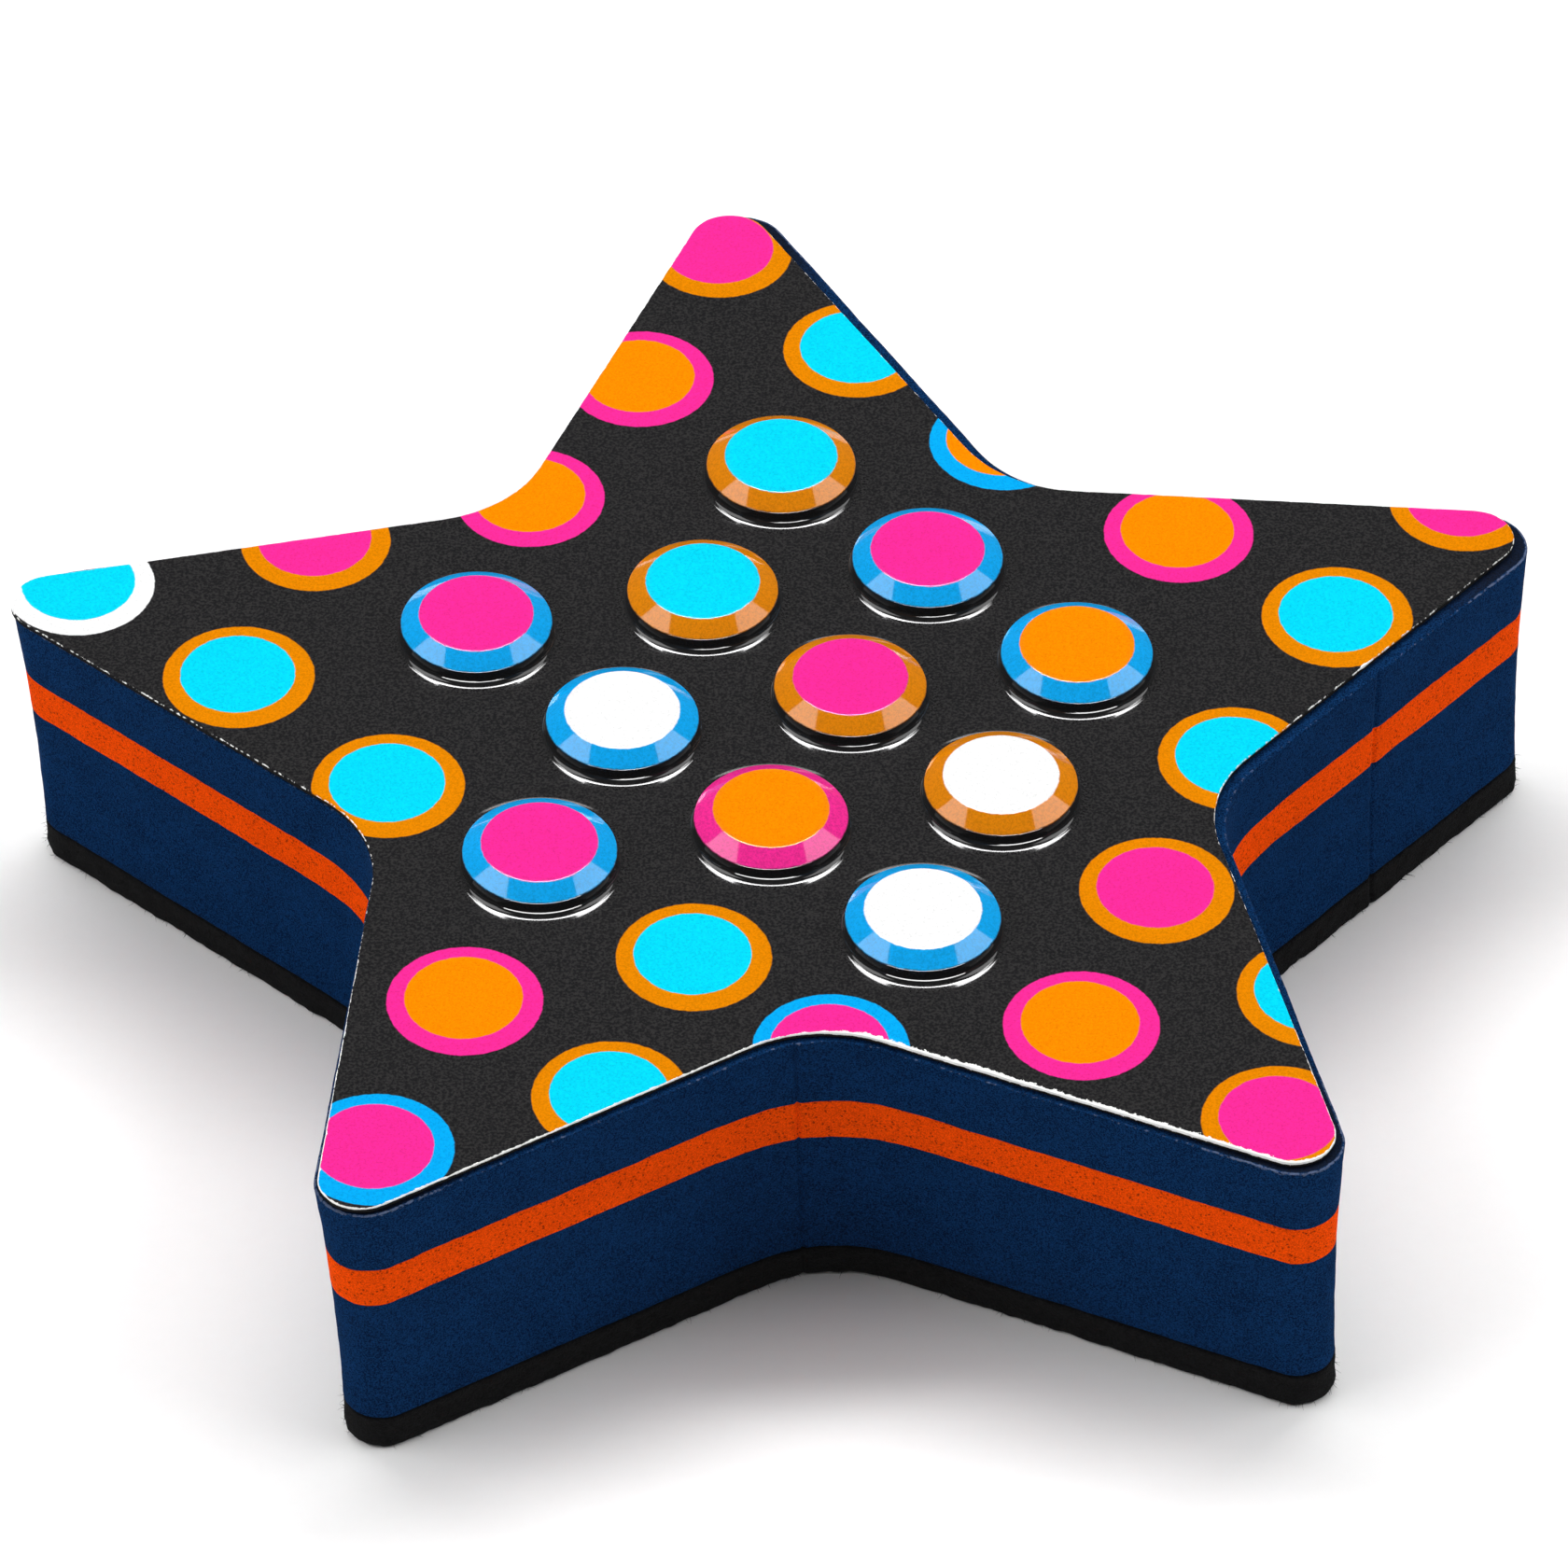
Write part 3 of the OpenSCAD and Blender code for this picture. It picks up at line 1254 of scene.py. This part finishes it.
@dataclass
class PrintedSheet:
    """The formed and printed sheet on top of the stack.

    Attributes:
        low: the lowest corner of its node, in mm.
        high: the highest corner of its node, in mm.
        thickness: its thickness, in mm.
        edge_round: how rounded its cut edge is above, in mm.
        rim_inset: how far inside its edge its flat faces begin, in mm.
        grid_origin: the origin of the bumps' slanted grid, in mm from its middle.
        grid_u: one step of the grid to the right and down.
        grid_v: one step of the grid up and to the right.
        raised: the disc and ring inks of each bump, by its place on the grid.
        flat: the dots that are only printed.
    """

    low: Vector
    high: Vector
    thickness: float = 0.4
    edge_round: float = 0.09
    rim_inset: float = 1.4
    grid_origin: Vector = field(default_factory=lambda: Vector((-7.4, -22, 0)))
    grid_u: Vector = field(default_factory=lambda: Vector((8.9, -10, 0)))
    grid_v: Vector = field(default_factory=lambda: Vector((6, 12.15, 0)))
    raised: dict[tuple[int, int], tuple[Ink, Ink]] = field(default_factory=lambda: {
        (-2, 1): (Ink.PINK, Ink.BLUE),
        (-1, 0): (Ink.PINK, Ink.BLUE),
        (-1, 1): (Ink.WHITE, Ink.BLUE),
        (-1, 2): (Ink.CYAN, Ink.OCHRE),
        (-1, 3): (Ink.CYAN, Ink.OCHRE),
        (0, 1): (Ink.ORANGE, Ink.PINK),
        (0, 2): (Ink.PINK, Ink.OCHRE),
        (0, 3): (Ink.PINK, Ink.BLUE),
        (1, 1): (Ink.WHITE, Ink.BLUE),
        (1, 2): (Ink.WHITE, Ink.OCHRE),
        (1, 3): (Ink.ORANGE, Ink.BLUE),
    })
    flat: tuple[Dot, ...] = (
        Dot((-34.8, 7.0), Ink.CYAN, Ink.OCHRE),
        Dot((-25.6, -4.1), Ink.CYAN, Ink.OCHRE),
        Dot((-21.7, -24.4), Ink.ORANGE, Ink.PINK),
        Dot((-27.9, -37.3), Ink.PINK, Ink.BLUE),
        Dot((-7.1, -21.4), Ink.CYAN, Ink.OCHRE),
        Dot((-13.1, -33.6), Ink.CYAN, Ink.OCHRE),
        Dot((0.9, -30.3), Ink.PINK, Ink.BLUE),
        Dot((16.7, -29.3), Ink.ORANGE, Ink.PINK),
        Dot((22.6, -17.3), Ink.PINK, Ink.OCHRE),
        Dot((28.2, -38.7), Ink.PINK, Ink.OCHRE),
        Dot((31.6, -27.4), Ink.CYAN, Ink.OCHRE),
        Dot((28.8, -5.3), Ink.CYAN, Ink.OCHRE),
        Dot((36.9, 7.9), Ink.CYAN, Ink.OCHRE),
        Dot((46.5, 18.7), Ink.PINK, Ink.OCHRE),
        Dot((27.4, 16.9), Ink.ORANGE, Ink.PINK),
        Dot((16.7, 26.9), Ink.ORANGE, Ink.BLUE),
        Dot((7.7, 37.0), Ink.CYAN, Ink.OCHRE),
        Dot((-0.8, 48.0), Ink.PINK, Ink.OCHRE),
        Dot((-7.0, 35.0), Ink.ORANGE, Ink.PINK),
        Dot((-15.0, 23.4), Ink.ORANGE, Ink.PINK),
        Dot((-29.3, 20.0), Ink.PINK, Ink.OCHRE),
        Dot((-44.9, 16.7), Ink.CYAN, Ink.WHITE),
    )

    @property
    def middle(self) -> Vector:
        """The middle of the star on the sheet's underside, in mm."""
        return Vector(((self.low.x + self.high.x) / 2, 0, self.low.z))

    def bump_at(self, place: tuple[int, int]) -> Vector:
        """Finds the axis of a bump from its place on the grid, in mm from the sheet's middle."""
        return self.grid_origin + place[0] * self.grid_u + place[1] * self.grid_v

    def dots(self) -> list[Dot]:
        """Lists every printed dot, raised or flat."""
        on_bumps = [Dot(tuple(self.bump_at(p))[:2], disc, ring, (0.0, 0.0))
                    for p, (disc, ring) in self.raised.items()]
        return on_bumps + list(self.flat)

    @staticmethod
    def _edge_wear(station: Station) -> float:
        """Reads how far the print is chipped back: most along the front right edge and at one nick."""
        direction = math.degrees(math.atan2(station.place.y, station.place.x)) % 360
        chipped = smooth(direction, 268, 276) * smooth(direction, 309, 303)
        near = smooth(direction, 212, 232) * smooth(direction, 318, 304)
        nick = smooth(abs(direction - 4.6), 0.5, 0.15)
        return 0.3 + 0.14 * near + 0.42 * chipped + 0.5 * nick + 0.05 * ripple(station, 0.0, 6.0, 71.0)

    def inside(self, station: Station, height: float, inset: float) -> Vector:
        """Finds a place inside the sheet's edge, in mm, at a height over the board."""
        place = station.place - station.normal * inset
        return Vector((self.middle.x + place.x, self.middle.y + place.y, height))

    def _rim(self) -> bpy.types.Object:
        """Models the cut edge of the sheet and the strip behind it, and returns it."""
        r, t = self.edge_round, self.thickness
        worn = [self._edge_wear(s) for s in SHEET_EDGE]
        rows = [(0.0, self.rim_inset, 0.0, 1.0), (0.0, 0.3, 0.0, 1.0), (0.0, 0.05, 0.0, 1.0)]
        rows += [(0.05, 0.0, 0.3, 1.0), (t / 2, 0.0, 0.5, 1.0), (t - 1.6 * r, 0.0, 0.9, 1.0)]
        rows += [(t - r, 0.0, 1.7, 0.0), (t - 0.3 * r, 0.3 * r, 1.7, 0.0), (t, r, 1.0, 0.0)]
        rows += [(t, 0.2, 0.65, 0.0), (t, 0.4, 0.4, 0.0), (t, 0.7, 0.0, 0.0), (t, self.rim_inset, 0.0, 0.0)]
        skin = None
        for height, inset, share, dark in rows:
            ring = []
            for s in SHEET_EDGE:
                nick = 0.03 * ripple(s, 0.0, 0.8, 81.0) if inset < 0.2 else 0.0
                place = s.place + s.normal * (nick - inset)
                ring.append(self.middle + Vector((place.x, place.y, height)))
            marks = {"gloss": 0.0, "wall": dark, "wear": [w * share for w in worn]}
            if skin is None:
                skin = Skin("sheet_rim", ring, marks)
            else:
                skin.pull(ring, marks)
        return skin.done()

    def model(self) -> bpy.types.Object:
        """Models the whole sheet: its rim, the bumps and the flat faces between them, and returns it."""
        top = self.middle.z + self.thickness
        shape = BumpShape(height=self.high.z - top, sheet=self.thickness)
        first = shape.model()
        parts = [self._rim()]
        for place in self.raised:
            axis = self.middle + self.bump_at(place) + Vector((0, 0, self.thickness))
            for skin in first:
                copy = skin.copy()
                copy.data = skin.data.copy()
                bpy.context.scene.collection.objects.link(copy)
                copy.data.transform(Matrix.Translation(axis * MM))
                parts.append(copy)
        for skin in first:
            bpy.data.objects.remove(skin)
        piece = weld("dotted_grip_sheet", parts)
        fill_between(piece, top - LEVEL, top + LEVEL)
        fill_between(piece, self.low.z - LEVEL, self.low.z + LEVEL)
        return piece


@dataclass
class Eraser:
    """The whole eraser: every piece of the stack, from the felt to the printed sheet.

    Attributes:
        hole_stations: how many vertices go round each magnet hole.
        hole_play: how much wider the hole is than its magnet, on the radius, in mm.
        hole_bulge: how much the hole's wall gives way between its ends, in mm.
        hole_edge: how far from each end the wall begins to give way, in mm.
    """

    hole_stations: int = 96
    hole_play: float = 0.02
    hole_bulge: float = 0.04
    hole_edge: float = 0.3

    @staticmethod
    def box(node: str) -> tuple[Vector, Vector]:
        """Reads the box of a CAD node, in mm."""
        low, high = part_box(node)
        return low / MM, high / MM

    def _scuff_and_highlight(self, station: Station) -> float:
        """Reads how scuffed the top edge of the foam is, and how strong the painted highlight along it is:
        most at the star's points.
        """
        reach = station.place.length
        return 0.42 + 0.2 * smooth(reach, 44, 50) + 0.06 * ripple(station, 0.0, 5.0, 91.0)

    def build(self) -> None:
        """Builds and dresses every piece, from the board up."""
        top = self.box("sheet_adhesive")[0].z
        cut = WallCut(top=top)
        stack = FoamStack(cut)
        # Pale blue-grey for the navy foam's top edge: scuffing and a painted highlight.
        scuff_and_highlight = linear("8f9bb8")
        navy = FoamFinish("navy_foam", linear("0a2a50"), linear("03112a"), scuff_and_highlight).make()
        # Pale orange for the orange foam's top edge: scuffing and a painted highlight.
        pale = linear("ffc08a")
        orange = FoamFinish("orange_foam", linear("fa4a02"), linear("6a1c02"), pale, 0.85, 0.3).make()
        glue = GlueFinish().make()

        felt_low, felt_high = self.box("felt_pad")
        pad = FeltPad(cut, felt_high.z - felt_low.z).model()
        finish_mesh(pad, 60)
        dress(pad, FeltFinish().make(), ["felt_pad"])

        film_names = {
            "felt_adhesive": "glue_over_felt",
            "core_film": "glue_under_core",
            "lower_stripe_film": "glue_under_stripe",
            "upper_stripe_film": "glue_over_stripe",
        }
        film = GlueFilm(cut.inside, FOAM_EDGE, 0.75)
        for node, name in film_names.items():
            low, high = self.box(node)
            piece = film.model(name, low.z, high.z)
            finish_mesh(piece)
            dress(piece, glue, [node])

        discs = Magnets(*self.box("magnets")).model()
        finish_mesh(discs)
        dress(discs, MagnetFinish().make(), ["magnets"])

        half_film = (self.box("core_film")[1].z - self.box("core_film")[0].z) / 2
        both, seam, joint = (half_film, half_film), 0.03, 0.012
        layers = [
            ("magnet_carrier_foam", "navy_carrier_foam", navy, "foam_navy", (0.0, half_film), (0.1, joint),
             (0.6, 0.2), None),
            ("core_foam", "navy_core_foam", navy, "foam_navy", both, (joint, seam), (0.2, 1.0), None),
            ("stripe_foam", "orange_stripe_foam", orange, "foam_orange", both, (seam, seam), (1.0, 1.0),
             None),
            ("upper_foam", "navy_upper_foam", navy, "foam_navy", (half_film, 0.0), (seam, 0.12), (1.0, 0.3),
             self._scuff_and_highlight),
        ]
        for node, name, finish, slot, lips, rounds, jagged, wear in layers:
            low, high = self.box(node)
            punched = node == "magnet_carrier_foam"
            piece = stack.sheet(name, low.z, high.z, lips, rounds, jagged, wear, caps=not punched)
            if punched:
                piece = self._punch(piece, low.z, high.z)
            finish_mesh(piece)
            dress(piece, finish, [node])

        sheet = PrintedSheet(*self.box("printed_sheet"))
        low, high = self.box("sheet_adhesive")
        film = GlueFilm(sheet.inside, SHEET_EDGE, 0.4)
        piece = film.model("glue_under_sheet", low.z, high.z)
        finish_mesh(piece)
        dress(piece, glue, ["sheet_adhesive"])
        piece = sheet.model()
        finish_mesh(piece, 30)
        printed = PrintFinish("dotted_print", sheet.middle * MM).make(sheet.dots())
        dress(piece, printed, ["printed_sheet"])

    def _punch(self, piece: bpy.types.Object, low: float, high: float) -> bpy.types.Object:
        """Adds the two punched holes for the magnets.

        Args:
            piece: the foam sheet, open above and below.
            low: the height of its underside, in mm.
            high: the height of its top, in mm.

        Returns:
            The closed sheet with its holes.
        """
        magnets = Magnets(*self.box("magnets"))
        parts = [piece]
        for side in (-1, 1):
            middle = Vector((magnets.middle.x + side * magnets.offset, 0, 0))
            skin = None
            for height in (low, low + self.hole_edge, (low + high) / 2, high - self.hole_edge, high):
                bulge = self.hole_bulge if low < height < high else 0.0
                radius = magnets.radius + self.hole_play + bulge
                turns = (ROUND * i / self.hole_stations for i in range(self.hole_stations))
                ring = [middle + Vector((radius * math.cos(t), radius * math.sin(t), height)) for t in turns]
                if skin is None:
                    skin = Skin("magnet_hole", ring, {"wear": 0.0})
                else:
                    skin.pull(ring, {"wear": 0.0})
            parts.append(skin.done())
        piece = weld(piece.name, parts)
        fill_between(piece, low - LEVEL, low + LEVEL)
        fill_between(piece, high - LEVEL, high + LEVEL)
        return piece


# ---------------------------------------------------------------------------------------------
# Studio
# ---------------------------------------------------------------------------------------------


@dataclass(frozen=True)
class Softbox:
    """One soft light.

    Attributes:
        name: its name.
        azimuth: its direction round the eraser, in degrees: 0 is in front and 90 to the right.
        elevation: its height above the floor, in degrees.
        distance: how far it is, in metres.
        size: its width and height, in metres.
        power: its power, in watts.
        glint: it shows only as a highlight on glossy surfaces.
    """

    name: str
    azimuth: float
    elevation: float
    distance: float
    size: tuple[float, float]
    power: float
    glint: bool = False

    def hang(self, aim: Vector) -> None:
        """Hangs the light, aimed at a point in metres."""
        a, e = math.radians(self.azimuth), math.radians(self.elevation)
        out = Vector((math.sin(a) * math.cos(e), -math.cos(a) * math.cos(e), math.sin(e)))
        leave_all()
        bpy.ops.object.light_add(type="AREA", location=aim + out * self.distance)
        lamp = bpy.context.object
        lamp.visible_diffuse = not self.glint
        lamp.name = self.name
        lamp.rotation_euler = out.to_track_quat("Z", "Y").to_euler()
        lamp.data.shape = "RECTANGLE"
        lamp.data.size, lamp.data.size_y = self.size
        lamp.data.energy = self.power


@dataclass
class Studio:
    """The floor, the lights and the camera.

    Attributes:
        azimuth: where the camera stands round the eraser, in degrees.
        elevation: the camera's height above the floor, in degrees.
        roll: how far the camera is tilted, in degrees.
        distance: from the camera to the middle of the printed sheet, in mm.
        aside: how far the camera is moved along its own right and up, in mm.
        lens: the focal length, in mm.
        sensor: the width of the sensor, in mm.
        lights: the softboxes.
        sky: the even light from all round.
    """

    azimuth: float = -4.24
    elevation: float = 42.49
    roll: float = 0.183
    distance: float = 689.08
    aside: tuple[float, float] = (0.136, -3.845)
    lens: float = 245.18
    sensor: float = 36.0
    sky: float = 0.09
    lights: tuple[Softbox, ...] = (
        Softbox("left_box", -86, 44, 1.3, (1.0, 0.8), 9.0),
        Softbox("right_box", 86, 44, 1.3, (1.0, 0.8), 8.0),
        Softbox("back_strip", 180, 66, 1.3, (1.4, 0.2), 13.0),
        Softbox("foot_glint", 180, 67, 1.3, (0.8, 0.6), 34.0, glint=True),
        Softbox("front_glint", 0, 8, 1.0, (2.4, 0.34), 62.0, glint=True),
    )

    def _floor(self) -> None:
        """Lays the paper sweep."""
        leave_all()
        bpy.ops.mesh.primitive_plane_add(size=6.0)
        floor = bpy.context.object
        floor.name = "paper_floor"
        bpy.ops.object.mode_set(mode="EDIT")
        bpy.ops.mesh.subdivide(number_cuts=4)
        leave_all()
        floor.data.materials.append(FloorFinish().make())

    def _camera(self, middle: Vector) -> None:
        """Sets up the camera.

        Args:
            middle: the middle of the printed sheet's top, in metres.
        """
        a, e = math.radians(self.azimuth), math.radians(self.elevation)
        back = Vector((math.sin(a) * math.cos(e), -math.cos(a) * math.cos(e), math.sin(e)))
        right = Vector((0, 0, 1)).cross(back).normalized()
        up = back.cross(right)
        turn = math.radians(self.roll)
        right, up = (
            math.cos(turn) * right + math.sin(turn) * up,
            math.cos(turn) * up - math.sin(turn) * right,
        )
        place = middle + (self.distance * back + self.aside[0] * right + self.aside[1] * up) * MM
        leave_all()
        bpy.ops.object.camera_add(location=place)
        camera = bpy.context.object
        axes = Matrix((right, up, back)).transposed()
        camera.rotation_euler = axes.to_euler()
        camera.data.sensor_width = self.sensor
        camera.data.lens = self.lens
        camera.data.clip_start, camera.data.clip_end = 0.05, 20
        bpy.context.scene.camera = camera

    def _sky(self) -> None:
        """Adds the even light from all round, and shows colours as they are."""
        world = bpy.data.worlds.new("studio")
        bpy.context.scene.world = world
        world.use_nodes = True
        shade = world.node_tree.nodes["Background"]
        shade.inputs["Color"].default_value = (1, 1, 1, 1)
        shade.inputs["Strength"].default_value = self.sky
        bpy.context.scene.view_settings.view_transform = "Standard"

    def build(self, middle: Vector) -> None:
        """Builds the studio round the eraser.

        Args:
            middle: the middle of the printed sheet's top, in metres.
        """
        self._floor()
        self._sky()
        for light in self.lights:
            light.hang(middle)
        self._camera(middle)
        log.info("studio: %d lights", len(self.lights))


def main() -> None:
    """Builds the eraser and its studio."""
    logging.basicConfig(level=logging.INFO, format="%(name)s: %(message)s")
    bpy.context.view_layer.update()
    Eraser().build()
    low, high = (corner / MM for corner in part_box("printed_sheet"))
    sheet = PrintedSheet(low, high)
    Studio().build((sheet.middle + Vector((0, 0, sheet.thickness))) * MM)


if __name__ == "__main__":
    main()
